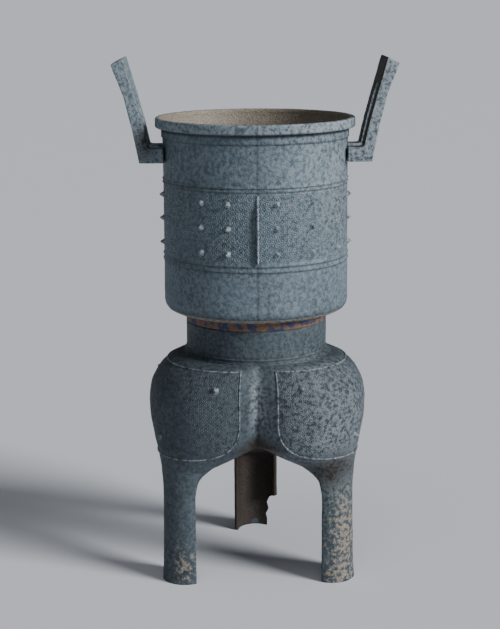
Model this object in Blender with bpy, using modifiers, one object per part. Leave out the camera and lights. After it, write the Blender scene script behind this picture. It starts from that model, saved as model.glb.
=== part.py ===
"""Yan steamer vessel in cast bronze.

An upper pot with two upright ears, the zeng, rests by its foot ring on the mouth of a lower pot
with three hollow lobes on three half round legs, the li. All sizes are in metres, +Z is up, the
floor is z = 0, and the front of the vessel, between two of its legs, faces -Y.
"""

import math

import bmesh
import bpy
from mathutils import Matrix, Vector
from mathutils.bvhtree import BVHTree

MERGE = 0.00005
GAP = 0.0003

# Walls of both pots
WALL = 0.0056

# Upper pot: rim and collar
ROUND_STEPS = 40
RIM_TOP = 0.6583
RIM_RADIUS = 0.1400
RIM_BAND = 0.0133
RIM_ROUNDING = 0.0014
RIM_MOUTH_RADIUS = 0.1330
LIP_ROUNDING = 0.0010
LIP_DEPTH = 0.0100
COLLAR_RADIUS = 0.1315
COLLAR_FOOT = 0.6320
COLLAR_STEP = 0.0012

# Upper pot: body, a little drawn in at the waist
WAIST_HEIGHT = 0.5600
WAIST_RADIUS = 0.1296
BODY_FOOT = 0.4025
BODY_FOOT_RADIUS = 0.1307
STRING_LINES = (0.5743, 0.5694, 0.4687, 0.4612)
STRING_PROUD = 0.0014
STRING_HALF_WIDTH = 0.0017

# Upper pot: its floor's edge, as (distance in from the wall, height above the floor)
FLOOR_EDGE = ((0.0180, 0.0005), (0.0050, 0.0042), (0.0004, 0.0130))

# Upper pot: underside, foot ring and the spigot that drops into the lower pot's mouth
UNDERSIDE = 0.3870
UNDERSIDE_EDGE = ((0.1293, 0.3960), (0.1261, 0.3913), (0.1202, 0.3882))
FOOT_RING_RADIUS = 0.1002
FOOT_RING_FILLET = 0.0035
SPIGOT_RADIUS = 0.0930
SPIGOT_BOTTOM = 0.3605
SPIGOT_WALL = 0.0045

# Steam grate in the upper pot's floor
GRATE_SLOTS = 10
SLOT_WIDTH = 0.0060
SLOT_INNER_RADIUS = 0.0240
SLOT_OUTER_RADIUS = 0.0780

# Pointed studs of the upper pot: three rows, and columns by their angle from the front
STUD_ROWS = (0.5516, 0.5187, 0.4844)
STUD_COLUMNS = (11.6, 35, 58.2, 81.6, 105, 137, 159, 181, 203, 225, 255, 275, 324.5, 342)
STUD_RADIUS = 0.0042
STUD_TIP_RADIUS = 0.0008
STUD_PROUD = 0.0055
STUD_ROOT = 0.0020

# Upright fins on the three mould joints
FIN_ANGLES = (0, 120, 240)
FIN_FOOT = 0.4725
FIN_TOP = 0.5645
FIN_PROUD = 0.0065
FIN_THICKNESS = 0.0028
FIN_POINT = ((1, 0.0300), (0.55, 0.0100), (0.06, 0))

# Ears: an upright loop that leans out, on two struts from the wall
EAR_WIDTH = 0.0840
EAR_OPENING_WIDTH = 0.0280
EAR_OPENING_TOP = 0.7030
EAR_OPENING_OVERRUN = 0.0200
EAR_REACH = 0.2100
EAR_ROOT_RADIUS = 0.1270
STRUT_BOTTOM = 0.5980
STRUT_TOP = 0.6180
EAR_OUTER_EDGE = ((0.1608, 0.5980), (0.1692, 0.6417), (0.1802, 0.6884), (0.1970, 0.7330))
EAR_INNER_EDGE = ((0.1801, 0.7411), (0.1655, 0.6890), (0.1560, 0.6540), (0.1480, 0.6180))
EAR_ROUNDING = 0.0016

# Lower pot: mouth, neck and the two lines round the foot of the neck
MOUTH_TOP = 0.3720
MOUTH_FOOT = 0.3540
NECK_RADIUS = 0.1002
NECK_LINES = (0.3312, 0.3262)
NECK_LINE_PROUD = (0.0013, 0.0026)
NECK_LINE_HALF_WIDTH = 0.0018

# Lower pot: radius of a lobe's crest and of the hollow between two lobes, by height
LOBE_CREST = ((0, 0.1550), (0.025, 0.1533), (0.060, 0.1524), (0.130, 0.1514), (0.165, 0.1528),
              (0.190, 0.1544), (0.215, 0.1580), (0.240, 0.1618), (0.263, 0.1626), (0.285, 0.1595),
              (0.300, 0.1522), (0.312, 0.1420), (0.3185, 0.1325), (0.3225, 0.1240), (0.3245, 0.1090))
LOBE_HOLLOW = ((0.2044, 0.0900), (0.224, 0.1000), (0.245, 0.1075), (0.263, 0.1115), (0.285, 0.1124),
               (0.300, 0.1110), (0.312, 0.1086), (0.3245, 0.1040))
BODY_LEVELS = (0.3205, 0.3150, 0.3070, 0.2960, 0.2810, 0.2620, 0.2420, 0.2230)
INSIDE_BODY_LEVELS = (0.3150, 0.2960, 0.2620, 0.2300)

# Lower pot: the arch between two legs, as half its width by height, and its distance from the axis
ARCH_TOP = 0.2044
ARCH_DISTANCE = 0.0900
ARCH = ((0.1310, 0.0895), (0.1440, 0.0870), (0.1554, 0.0840), (0.1674, 0.0742), (0.1790, 0.0504),
        (0.1876, 0.0322), (0.2044, 0))
ARCH_LEVELS = (0.1960, 0.1840, 0.1720, 0.1610, 0.1470, 0.1310)
INSIDE_ARCH_LEVELS = (0.1876, 0.1650, 0.1310)

# Lower pot: how fast the underside moves out to the leg as it falls, and how far it flattens there
UNDERSIDE_SPEED = 1.15
UNDERSIDE_BEND = 0.8
UNDERSIDE_FLATNESS = 1.2

# Legs: half round channels, open towards the axis
LEG_ANGLES = (90, 210, 330)
LEG_CHORD_DISTANCE = 0.1225
LEG_HALF_WIDTH = 0.0332
CHANNEL_TOP = 0.1200
LEG_LEVELS = (0.0950, 0.0500, 0.0220, 0)
LEG_WALL = 0.0056

SECTOR_STEPS = 12
INNER_STEPS = 8

# Shield panel on each lobe: a raised outline from half its angle, its top and its foot
PANEL_HALF_ANGLE = 48
PANEL_TOP = 0.3185
PANEL_FOOT = 0.1900
PANEL_CORNER_POWER = 3.4
PANEL_SHOULDER = 0.2700
PANEL_SIDE_SHARE = 0.2
PANEL_LINE_WIDTH = 0.0015
PANEL_LINE_LIFT = 0.0004
PANEL_SAMPLES = 400
PANEL_STEPS = 28

# Studs of each lobe: angle from its crest and height
LOBE_STUDS = ((-34.5, 0.2960), (34.5, 0.2960), (0, 0.2170))
LOBE_STUD_RADIUS = 0.0058
LOBE_STUD_PROUD = 0.0062
NORMAL_STEP = 0.0005
NORMAL_TURN = 0.2

# The rear leg's right wall is broken away below this jagged outline, as (x, height)
BREAK_OUTLINE = ((0.0180, -0.010), (0.0185, 0.010), (0.0165, 0.019), (0.0205, 0.029), (0.0180, 0.039),
                 (0.0215, 0.049), (0.0270, 0.055), (0.0400, 0.060), (0.0480, 0.060), (0.0480, -0.010))
BREAK_NEAR = 0.1050
BREAK_FAR = 0.1700

# The vessel's axis stands forward of the middle of its outline, which the rear lobe lengthens
REAR_REACH = 0.1630
AXIS_Y = (RIM_RADIUS - REAR_REACH) / 2


def cleared_file():
    """Removes whatever the file opened with."""
    for thing in list(bpy.data.objects):
        bpy.data.objects.remove(thing, do_unlink=True)


def collection(name):
    """A new collection in the scene."""
    group = bpy.data.collections.new(name)
    bpy.context.scene.collection.children.link(group)
    return group


def bronze(name, colour, roughness, metallic):
    """Patinated bronze of one colour."""
    material = bpy.data.materials.new(name)
    material.use_nodes = True
    shader = material.node_tree.nodes["Principled BSDF"]
    shader.inputs["Base Color"].default_value = (*colour, 1)
    shader.inputs["Roughness"].default_value = roughness
    shader.inputs["Metallic"].default_value = metallic
    return material


def mesh_object(name, mesh, group):
    """An object that shows a mesh, in a collection."""
    thing = bpy.data.objects.new(name, mesh)
    group.objects.link(thing)
    return thing


def mesh_from_bmesh(name, bm):
    """A mesh from a bmesh, which is freed."""
    mesh = bpy.data.meshes.new(name)
    bm.to_mesh(mesh)
    bm.free()
    return mesh


def evaluated_mesh(thing, matrix):
    """A thing's mesh with its modifiers, welded and placed; the thing itself is removed."""
    bpy.context.view_layer.update()
    graph = bpy.context.evaluated_depsgraph_get()
    mesh = bpy.data.meshes.new_from_object(thing.evaluated_get(graph))
    bm = bmesh.new()
    bm.from_mesh(mesh)
    bmesh.ops.remove_doubles(bm, verts=bm.verts, dist=MERGE)
    bmesh.ops.transform(bm, matrix=matrix, verts=bm.verts)
    bm.to_mesh(mesh)
    bm.free()
    bpy.data.objects.remove(thing, do_unlink=True)
    return mesh


def flat_plate(name, outline, thickness, matrix, group):
    """The mesh of a flat plate: an outline in X and Y, with half the thickness to each side of Z."""
    curve = bpy.data.curves.new(name, "CURVE")
    curve.dimensions = "2D"
    curve.fill_mode = "BOTH"
    curve.extrude = thickness / 2
    spline = curve.splines.new("POLY")
    spline.points.add(len(outline) - 1)
    for point, (x, y) in zip(spline.points, outline):
        point.co = (x, y, 0, 1)
    spline.use_cyclic_u = True
    thing = bpy.data.objects.new(name, curve)
    group.objects.link(thing)
    return evaluated_mesh(thing, matrix)


def cutter(thing):
    """Marks a thing that only shapes others."""
    thing.hide_render = True
    thing.display_type = "WIRE"
    return thing


def boolean(thing, other, operation):
    """Joins or cuts a thing with another."""
    modifier = thing.modifiers.new(operation.title() + " " + other.name, "BOOLEAN")
    modifier.operation = operation
    modifier.solver = "EXACT"
    modifier.object = other


def joined(name, meshes, group):
    """One object from several separate closed meshes."""
    bm = bmesh.new()
    for mesh in meshes:
        bm.from_mesh(mesh)
    return mesh_object(name, mesh_from_bmesh(name, bm), group)


def spline_value(table, x):
    """A smooth curve through (place, value) pairs that never swings past its points."""
    if x <= table[0][0]:
        return table[0][1]
    if x >= table[-1][0]:
        return table[-1][1]
    steps = [b[0] - a[0] for a, b in zip(table, table[1:])]
    slopes = [(b[1] - a[1]) / step for a, b, step in zip(table, table[1:], steps)]
    index = next(i for i, pair in enumerate(table[1:]) if x <= pair[0])

    def tangent(i):
        if i == 0 or i == len(table) - 1:
            return slopes[min(i, len(slopes) - 1)]
        if slopes[i - 1] * slopes[i] <= 0:
            return 0
        return 2 * slopes[i - 1] * slopes[i] / (slopes[i - 1] + slopes[i])

    h = steps[index]
    t = (x - table[index][0]) / h
    start = table[index][1] * (2 * t ** 3 - 3 * t ** 2 + 1) + tangent(index) * h * (t ** 3 - 2 * t ** 2 + t)
    end = table[index + 1][1] * (3 * t ** 2 - 2 * t ** 3) + tangent(index + 1) * h * (t ** 3 - t ** 2)
    return start + end


def facing(angle, radius, height):
    """Stands local +Z outwards from the axis at an angle counted from the front towards +X."""
    turn = Matrix.Rotation(math.radians(angle - 90), 4, "Z")
    lay_down = Matrix.Rotation(math.radians(90), 4, "Y")
    return turn @ Matrix.Translation((radius, 0, height)) @ lay_down


def cone_mesh(name, matrix, radius, proud):
    """A pointed stud whose root reaches into the wall."""
    bm = bmesh.new()
    root_radius = radius + (radius - STUD_TIP_RADIUS) * STUD_ROOT / proud
    bmesh.ops.create_cone(bm, cap_ends=True, segments=6, radius1=root_radius, radius2=STUD_TIP_RADIUS,
                          depth=proud + STUD_ROOT)
    bmesh.ops.translate(bm, vec=(0, 0, (proud - STUD_ROOT) / 2), verts=bm.verts)
    bmesh.ops.transform(bm, matrix=matrix, verts=bm.verts)
    return mesh_from_bmesh(name, bm)


def body_radius(height):
    """Outer radius of the upper pot's wall, least at its waist."""
    reach = (height - WAIST_HEIGHT) / (WAIST_HEIGHT - BODY_FOOT)
    return WAIST_RADIUS + (BODY_FOOT_RADIUS - WAIST_RADIUS) * reach ** 2


def zeng_profile():
    """Half section of the upper pot: up its inner side, over the rim and down its outer side."""
    floor_top = UNDERSIDE + WALL
    inner = BODY_FOOT_RADIUS - WALL
    band_foot = RIM_TOP - RIM_BAND
    points = [(0, floor_top)]
    points += [(inner - across, floor_top + up) for across, up in FLOOR_EDGE]
    points += [(WAIST_RADIUS - WALL, WAIST_HEIGHT), (COLLAR_RADIUS - WALL, COLLAR_FOOT),
               (RIM_MOUTH_RADIUS - LIP_ROUNDING, RIM_TOP - LIP_DEPTH),
               (RIM_MOUTH_RADIUS, RIM_TOP - LIP_ROUNDING), (RIM_MOUTH_RADIUS + LIP_ROUNDING, RIM_TOP),
               (RIM_RADIUS - RIM_ROUNDING, RIM_TOP), (RIM_RADIUS, RIM_TOP - RIM_ROUNDING),
               (RIM_RADIUS, band_foot + RIM_ROUNDING), (RIM_RADIUS - RIM_ROUNDING, band_foot),
               (COLLAR_RADIUS, band_foot), (COLLAR_RADIUS, COLLAR_FOOT),
               (body_radius(COLLAR_FOOT), COLLAR_FOOT - COLLAR_STEP)]
    for height in STRING_LINES:
        points += [(body_radius(height), height + STRING_HALF_WIDTH),
                   (body_radius(height) + STRING_PROUD, height),
                   (body_radius(height), height - STRING_HALF_WIDTH)]
    points += [(BODY_FOOT_RADIUS, BODY_FOOT), *UNDERSIDE_EDGE,
               (FOOT_RING_RADIUS + FOOT_RING_FILLET, UNDERSIDE),
               (FOOT_RING_RADIUS, UNDERSIDE - FOOT_RING_FILLET),
               (FOOT_RING_RADIUS, MOUTH_TOP + GAP), (SPIGOT_RADIUS, MOUTH_TOP + GAP),
               (SPIGOT_RADIUS, SPIGOT_BOTTOM), (SPIGOT_RADIUS - SPIGOT_WALL, SPIGOT_BOTTOM),
               (SPIGOT_RADIUS - SPIGOT_WALL, UNDERSIDE), (0, UNDERSIDE)]
    return points


def turned(name, profile, steps, group):
    """A solid turned about the axis from its half section."""
    mesh = bpy.data.meshes.new(name)
    vertices = [(radius, 0, height) for radius, height in profile]
    edges = [(i, i + 1) for i in range(len(profile) - 1)]
    mesh.from_pydata(vertices, edges, [])
    thing = mesh_object(name, mesh, group)
    screw = thing.modifiers.new("Turn", "SCREW")
    screw.axis = "Z"
    screw.angle = math.radians(360)
    screw.steps = steps
    screw.render_steps = steps
    screw.use_merge_vertices = True
    screw.merge_threshold = MERGE
    screw.use_normal_calculate = True
    return thing


def fin_mesh(angle, group):
    """An upright fin that grows out of the wall from its pointed top."""
    point = [(FIN_PROUD * share, FIN_TOP - below) for share, below in FIN_POINT]
    outline = [(-STUD_ROOT, FIN_FOOT), (FIN_PROUD, FIN_FOOT), *point, (-STUD_ROOT, FIN_TOP)]
    placed = [(body_radius(height) + out, height) for out, height in outline]
    upright = Matrix.Rotation(math.radians(90), 4, "X")
    turn = Matrix.Rotation(math.radians(angle - 90), 4, "Z")
    return flat_plate("Fin outline", placed, FIN_THICKNESS, turn @ upright, group)


def ear_mesh(angle, group):
    """An ear: a bent bar as wide as the ear, opened up the middle into two posts and two struts."""
    root = [(EAR_ROOT_RADIUS, STRUT_TOP), (EAR_ROOT_RADIUS, STRUT_BOTTOM)]
    outline = [*root, *EAR_OUTER_EDGE, *EAR_INNER_EDGE]
    upright = Matrix.Rotation(math.radians(90), 4, "X")
    bar = mesh_object("Ear bar", flat_plate("Ear outline", outline, EAR_WIDTH, upright, group), group)
    bm = bmesh.new()
    bmesh.ops.create_cube(bm, size=1)
    tall = EAR_OPENING_TOP - STRUT_BOTTOM + EAR_OPENING_OVERRUN
    size = (EAR_REACH - EAR_ROOT_RADIUS, EAR_OPENING_WIDTH, tall)
    bmesh.ops.scale(bm, vec=size, verts=bm.verts)
    middle = (EAR_REACH + EAR_ROOT_RADIUS) / 2
    bmesh.ops.translate(bm, vec=(middle, 0, EAR_OPENING_TOP - tall / 2), verts=bm.verts)
    opening = mesh_object("Ear opening", mesh_from_bmesh("Ear opening", bm), group)
    boolean(bar, opening, "DIFFERENCE")
    rounding = bar.modifiers.new("Rounded edges", "BEVEL")
    rounding.width = EAR_ROUNDING
    rounding.segments = 1
    rounding.limit_method = "ANGLE"
    rounding.angle_limit = math.radians(60)
    mesh = evaluated_mesh(bar, Matrix.Rotation(math.radians(angle - 90), 4, "Z"))
    bpy.data.objects.remove(opening, do_unlink=True)
    return mesh


def slot_mesh(index):
    """A cutter for one radial slot of the grate."""
    bm = bmesh.new()
    bmesh.ops.create_cube(bm, size=1)
    length = SLOT_OUTER_RADIUS - SLOT_INNER_RADIUS
    bmesh.ops.scale(bm, vec=(length, SLOT_WIDTH, WALL * 3), verts=bm.verts)
    bmesh.ops.translate(bm, vec=(SLOT_INNER_RADIUS + length / 2, 0, UNDERSIDE + WALL / 2), verts=bm.verts)
    turn = Matrix.Rotation(math.tau * (index + 0.5) / GRATE_SLOTS, 4, "Z")
    bmesh.ops.transform(bm, matrix=turn, verts=bm.verts)
    return mesh_from_bmesh("Grate slot", bm)


def make_zeng(group, cutters):
    """The upper pot: turned walls, with its studs, fins and ears cast on and its grate cut through."""
    zeng = turned("zeng", zeng_profile(), ROUND_STEPS, group)
    cast_on = [cone_mesh("Stud", facing(angle, body_radius(height), height), STUD_RADIUS, STUD_PROUD)
               for angle in STUD_COLUMNS for height in STUD_ROWS]
    cast_on += [fin_mesh(angle, cutters) for angle in FIN_ANGLES]
    cast_on += [ear_mesh(angle, cutters) for angle in (90, 270)]
    boolean(zeng, cutter(joined("Zeng studs fins and ears", cast_on, cutters)), "UNION")
    slots = [slot_mesh(index) for index in range(GRATE_SLOTS)]
    boolean(zeng, cutter(joined("Grate slots", slots, cutters)), "DIFFERENCE")
    return zeng


def section_end(height):
    """Where a lobe's outer curve ends, as (distance along its crest's direction, half width)."""
    half = math.radians(60)
    if height >= ARCH_TOP:
        radius = spline_value(LOBE_HOLLOW, height)
        return radius * math.cos(half), radius * math.sin(half)
    if height >= ARCH[0][0]:
        reach = spline_value(ARCH, height)
        return (ARCH_DISTANCE * math.cos(half) + reach * math.sin(half),
                ARCH_DISTANCE * math.sin(half) - reach * math.cos(half))
    return LEG_CHORD_DISTANCE, LEG_HALF_WIDTH


def section_circle(height):
    """Centre distance and radius of the arc through a lobe's crest and the two ends of its section."""
    crest = spline_value(LOBE_CREST, height)
    end_x, end_y = section_end(height)
    centre = (crest ** 2 - end_x ** 2 - end_y ** 2) / (2 * (crest - end_x))
    return centre, crest - centre


def outer_section(height):
    """A lobe's or leg's outer arc at a height, from one end over its crest to the other, facing +X."""
    end_x, end_y = section_end(height)
    centre, radius = section_circle(height)
    span = math.atan2(end_y, end_x - centre)
    angles = [span * (2 * step / SECTOR_STEPS - 1) for step in range(SECTOR_STEPS + 1)]
    return [Vector((centre + radius * math.cos(a), radius * math.sin(a), height)) for a in angles]


def neck_section(height, radius):
    """A third of a round section."""
    angles = [math.radians(120 * step / SECTOR_STEPS - 60) for step in range(SECTOR_STEPS + 1)]
    return [Vector((radius * math.cos(a), radius * math.sin(a), height)) for a in angles]


def underside_section(height):
    """The underside's curve at a height, between the ends of the outer arc.

    At the arch's top it is two straight lines through the axis, and it flattens towards the leg.
    """
    end_x, end_y = section_end(height)
    fall = (ARCH_TOP - height) / (ARCH_TOP - ARCH[0][0])
    middle = end_x * min(1, fall * UNDERSIDE_SPEED) ** UNDERSIDE_BEND
    power = 1 + UNDERSIDE_FLATNESS * math.sin(math.pi * fall)
    sides = [2 * step / INNER_STEPS - 1 for step in range(INNER_STEPS + 1)]
    return [Vector((middle + (end_x - middle) * abs(s) ** power, end_y * s, height)) for s in sides]


def channel_section(height):
    """The leg's inner side at a height: a thin edge, the hollow of the channel and the other edge."""
    end_x, end_y = section_end(height)
    centre, radius = section_circle(height)
    inner = radius - LEG_WALL
    span = math.atan2(end_y - LEG_WALL, end_x - centre)
    steps = INNER_STEPS - 2
    angles = [span * (2 * step / steps - 1) for step in range(steps + 1)]
    hollow = [Vector((centre + inner * math.cos(a), inner * math.sin(a), height)) for a in angles]
    return [Vector((end_x, -end_y, height)), *hollow, Vector((end_x, end_y, height))]


def turned_section(section, angle):
    """A section turned from +X to an angle counted from +X."""
    turn = Matrix.Rotation(math.radians(angle), 3, "Z")
    return [turn @ point for point in section]


def add_band(bm, upper, lower, flip=False):
    """Faces between two rows of points that run the same way."""
    for a, b, c, d in zip(upper, upper[1:], lower[1:], lower):
        bm.faces.new((a, b, c, d) if flip else (d, c, b, a))


def add_row(bm, points):
    """Vertices for a row of points."""
    return [bm.verts.new(point) for point in points]


def neck_rows():
    """Sections of the mouth, the neck and the lines round its foot, from the top down."""
    rows = [neck_section(MOUTH_TOP, NECK_RADIUS), neck_section(MOUTH_FOOT, NECK_RADIUS)]
    for height, proud in zip(NECK_LINES, NECK_LINE_PROUD):
        rows.append(neck_section(height + NECK_LINE_HALF_WIDTH, NECK_RADIUS))
        rows.append(neck_section(height, NECK_RADIUS + proud))
    return rows


def bag_mesh(neck, body_levels, arch_levels):
    """The lower pot's skin from its neck down to the tops of the legs, closed below, open above."""
    bm = bmesh.new()
    for angle in LEG_ANGLES:
        levels = (NECK_LINES[1] - NECK_LINE_HALF_WIDTH, *body_levels, ARCH_TOP, *arch_levels)
        sections = neck + [outer_section(height) for height in levels]
        rows = [add_row(bm, turned_section(section, angle)) for section in sections]
        for upper, lower in zip(rows, rows[1:]):
            add_band(bm, upper, lower)
        below = [underside_section(height) for height in (ARCH_TOP, *arch_levels)]
        inner_rows = [add_row(bm, turned_section(section, angle)) for section in below]
        for upper, lower in zip(inner_rows, inner_rows[1:]):
            add_band(bm, upper, lower, flip=True)
        bm.faces.new([*reversed(rows[-1]), *inner_rows[-1][1:-1]])
    bmesh.ops.remove_doubles(bm, verts=bm.verts, dist=MERGE)
    bmesh.ops.recalc_face_normals(bm, faces=bm.faces)
    return bm


def add_leg(bm, angle):
    """One leg below the bag: its outer skin, its channel and its foot."""
    top = ARCH_LEVELS[-1]
    levels = (CHANNEL_TOP, *LEG_LEVELS)
    outer = [add_row(bm, turned_section(outer_section(height), angle)) for height in (top, *levels)]
    inner_sections = [underside_section(top), *[channel_section(height) for height in levels]]
    inner = [add_row(bm, turned_section(section, angle)) for section in inner_sections]
    for upper, lower in zip(outer, outer[1:]):
        add_band(bm, upper, lower)
    for upper, lower in zip(inner, inner[1:]):
        add_band(bm, upper, lower, flip=True)
    bm.faces.new([*reversed(outer[-1]), *inner[-1][1:-1]])


def inner_skin():
    """The inside of the lower pot, one wall within its outer skin."""
    neck = [neck_section(MOUTH_TOP, NECK_RADIUS), neck_section(NECK_LINES[0], NECK_RADIUS)]
    bm = bag_mesh(neck, INSIDE_BODY_LEVELS, INSIDE_ARCH_LEVELS)
    bm.normal_update()
    offsets = {v: v.normal * WALL * v.calc_shell_factor() for v in bm.verts}
    for vertex, offset in offsets.items():
        vertex.co -= offset
    return mesh_from_bmesh("Inner skin", bm)


def li_mesh():
    """The lower pot: its outer skin, legs and inner skin, joined round the mouth's lip."""
    bm = bag_mesh(neck_rows(), BODY_LEVELS, ARCH_LEVELS)
    leg_top = ARCH_LEVELS[-1]
    caps = [face for face in bm.faces if all(abs(v.co.z - leg_top) < MERGE for v in face.verts)]
    bmesh.ops.delete(bm, geom=caps, context="FACES_ONLY")
    for angle in LEG_ANGLES:
        add_leg(bm, angle)
    bmesh.ops.remove_doubles(bm, verts=bm.verts, dist=MERGE)
    bm.from_mesh(inner_skin())
    lip = sorted((v for v in bm.verts if v.is_boundary), key=lambda v: math.atan2(v.co.y, v.co.x))
    outer = [v for v in lip if v.co.xy.length > NECK_RADIUS - WALL / 2]
    inner = [v for v in lip if v not in outer]
    add_band(bm, outer + outer[:1], inner + inner[:1])
    bmesh.ops.recalc_face_normals(bm, faces=bm.faces)
    return mesh_from_bmesh("li", bm)


def lobe_point(angle, height):
    """The point of a lobe's surface at an angle from its crest, facing +X, and the normal there."""
    centre, radius = section_circle(height)
    turn = math.radians(angle)
    reach = centre * math.cos(turn) + math.sqrt(radius ** 2 - (centre * math.sin(turn)) ** 2)
    return Vector((reach * math.cos(turn), reach * math.sin(turn), height))


def lobe_normal(angle, height):
    """Outward normal of a lobe's surface at an angle from its crest and a height."""
    along = lobe_point(angle + NORMAL_TURN, height) - lobe_point(angle - NORMAL_TURN, height)
    down = lobe_point(angle, height - NORMAL_STEP) - lobe_point(angle, height + NORMAL_STEP)
    return down.cross(along).normalized()


def panel_outline():
    """A shield panel's outline as many (angle, height) pairs: straight top and sides, a round foot."""
    points = []
    for step in range(PANEL_SAMPLES):
        turn = math.tau * step / PANEL_SAMPLES
        if turn < math.pi:
            across = math.copysign(abs(math.cos(turn)) ** (2 / PANEL_CORNER_POWER), math.cos(turn))
            fall = math.sin(turn) ** (2 / PANEL_CORNER_POWER)
            height = PANEL_SHOULDER - (PANEL_SHOULDER - PANEL_FOOT) * fall
        else:
            share = turn / math.pi - 1
            across = min(1, max(0, (share - PANEL_SIDE_SHARE) / (1 - 2 * PANEL_SIDE_SHARE))) * 2 - 1
            rise = min(1, share / PANEL_SIDE_SHARE, (1 - share) / PANEL_SIDE_SHARE)
            height = PANEL_SHOULDER + (PANEL_TOP - PANEL_SHOULDER) * rise
        points.append((PANEL_HALF_ANGLE * across, height))
    return points


def evenly_spaced(points, count):
    """A closed run of points, taken again at even distances."""
    ends = points[1:] + points[:1]
    lengths = [(b - a).length for a, b in zip(points, ends)]
    spacing = sum(lengths) / count
    even = []
    walked = 0
    for a, b, length in zip(points, ends, lengths):
        while len(even) < count and len(even) * spacing <= walked + length:
            even.append(a.lerp(b, (len(even) * spacing - walked) / max(length, MERGE)))
        walked += length
    return even


def panel_line(angle, skin, group):
    """The raised line round one shield panel, half sunk in the lobe's skin."""
    curve = bpy.data.curves.new("Panel line", "CURVE")
    curve.dimensions = "3D"
    curve.bevel_depth = PANEL_LINE_WIDTH
    curve.bevel_resolution = 0
    path = evenly_spaced([lobe_point(place, height) for place, height in panel_outline()], PANEL_STEPS)
    turn = Matrix.Rotation(math.radians(angle), 3, "Z")
    spline = curve.splines.new("POLY")
    spline.points.add(len(path) - 1)
    for point, place in zip(spline.points, path):
        nearest, normal, _, _ = skin.find_nearest(turn @ place)
        point.co = (*(nearest + normal * PANEL_LINE_LIFT), 1)
    spline.use_cyclic_u = True
    thing = bpy.data.objects.new("Panel line", curve)
    group.objects.link(thing)
    return evaluated_mesh(thing, Matrix.Identity(4))


def lobe_stud(leg_angle, angle, height):
    """A pointed stud that stands square on a lobe."""
    stand = lobe_normal(angle, height).to_track_quat("Z", "Y").to_matrix().to_4x4()
    place = Matrix.Translation(lobe_point(angle, height)) @ stand
    turn = Matrix.Rotation(math.radians(leg_angle), 4, "Z")
    return cone_mesh("Lobe stud", turn @ place, LOBE_STUD_RADIUS, LOBE_STUD_PROUD)


def make_li(group, cutters):
    """The lower pot, with its panel outlines and studs, and the break in its rear leg."""
    li = mesh_object("li", li_mesh(), group)
    bm = bmesh.new()
    bm.from_mesh(li.data)
    skin = BVHTree.FromBMesh(bm)
    bm.free()
    upright = Matrix.Rotation(math.radians(90), 4, "X")
    place = Matrix.Translation((0, (BREAK_NEAR + BREAK_FAR) / 2, 0)) @ upright
    missing = flat_plate("Break outline", BREAK_OUTLINE, BREAK_FAR - BREAK_NEAR, place, cutters)
    boolean(li, cutter(mesh_object("Missing piece", missing, cutters)), "DIFFERENCE")
    lines = [panel_line(angle, skin, cutters) for angle in LEG_ANGLES]
    boolean(li, cutter(joined("Panel lines", lines, cutters)), "UNION")
    studs = [lobe_stud(leg, angle, height) for leg in LEG_ANGLES for angle, height in LOBE_STUDS]
    boolean(li, cutter(joined("Lobe studs", studs, cutters)), "UNION")
    return li


cleared_file()
parts = collection("Yan steamer vessel")
shapers = collection("Cutters")
stand = bpy.data.objects.new("Vessel axis", None)
stand.location = (0, AXIS_Y, 0)
parts.objects.link(stand)

pots = [make_zeng(parts, shapers), make_li(parts, shapers)]
finishes = [bronze("Slate green patina", (0.19, 0.25, 0.27), 0.62, 0.35),
            bronze("Dark blue green patina", (0.15, 0.21, 0.23), 0.66, 0.35)]
for pot, finish in zip(pots, finishes):
    pot.data.materials.append(finish)
    pot.data.shade_smooth()
for thing in [*parts.objects, *shapers.objects]:
    if thing is not stand:
        thing.parent = stand
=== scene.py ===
"""Visual model of an old cast bronze steamer: an upper pot with two ears on a lobed tripod pot."""

import math

import bmesh
import bpy
import numpy as np
from mathutils import Matrix, Vector, noise
from mathutils.bvhtree import BVHTree


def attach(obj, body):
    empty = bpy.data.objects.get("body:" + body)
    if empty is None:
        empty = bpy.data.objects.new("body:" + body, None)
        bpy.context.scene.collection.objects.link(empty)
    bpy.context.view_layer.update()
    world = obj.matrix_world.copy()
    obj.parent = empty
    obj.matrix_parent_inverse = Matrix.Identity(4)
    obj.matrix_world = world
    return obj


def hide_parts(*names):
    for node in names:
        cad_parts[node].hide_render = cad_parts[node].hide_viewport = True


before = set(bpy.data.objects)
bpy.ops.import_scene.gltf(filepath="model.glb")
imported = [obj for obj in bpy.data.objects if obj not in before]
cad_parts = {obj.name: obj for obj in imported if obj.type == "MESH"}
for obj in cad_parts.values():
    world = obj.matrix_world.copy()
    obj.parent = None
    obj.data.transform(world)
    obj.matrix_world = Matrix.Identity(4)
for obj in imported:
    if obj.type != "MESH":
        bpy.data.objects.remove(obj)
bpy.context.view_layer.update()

# Upper pot: turned walls in cast bronze, from the floor up the inside, over the rim and down the
# outside to the foot ring and the spigot. Four string lines stand proud of the wall, a joint left by
# the mould runs down its front, and ten slots through the floor make the steam grate.
AXIS_Y = -0.0115
WAIST_RADIUS, WAIST_HEIGHT = 0.1296, 0.56
WALL_FLARE, FLARE_REACH = 0.0011, 0.1575
RIM_TOP, RIM_FOOT, RIM_RADIUS, RIM_BEVEL = 0.6583, 0.6450, 0.1400, 0.0014
COLLAR_RADIUS, COLLAR_FOOT, COLLAR_BEVEL = 0.1315, 0.6320, 0.0012
STRING_LINES = (0.5743, 0.5694, 0.4687, 0.4612)
STRING_HALF, STRING_PROUD = 0.0017, 0.0014
UNDERSIDE, RING_FOOT, SPIGOT_FOOT = 0.3870, 0.3723, 0.3605
NECK_RADIUS, SPIGOT_OUTSIDE, SPIGOT_INSIDE = 0.1002, 0.0930, 0.0885
COLUMNS, INSIDE_STEP, OUTSIDE_STEP = 312, 0.006, 0.0019
SLOTS, SLOT_SIZE, SLOT_PLACE = 10, (0.054, 0.006, 0.0168), (0.051, 0, 0.3898)
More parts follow.
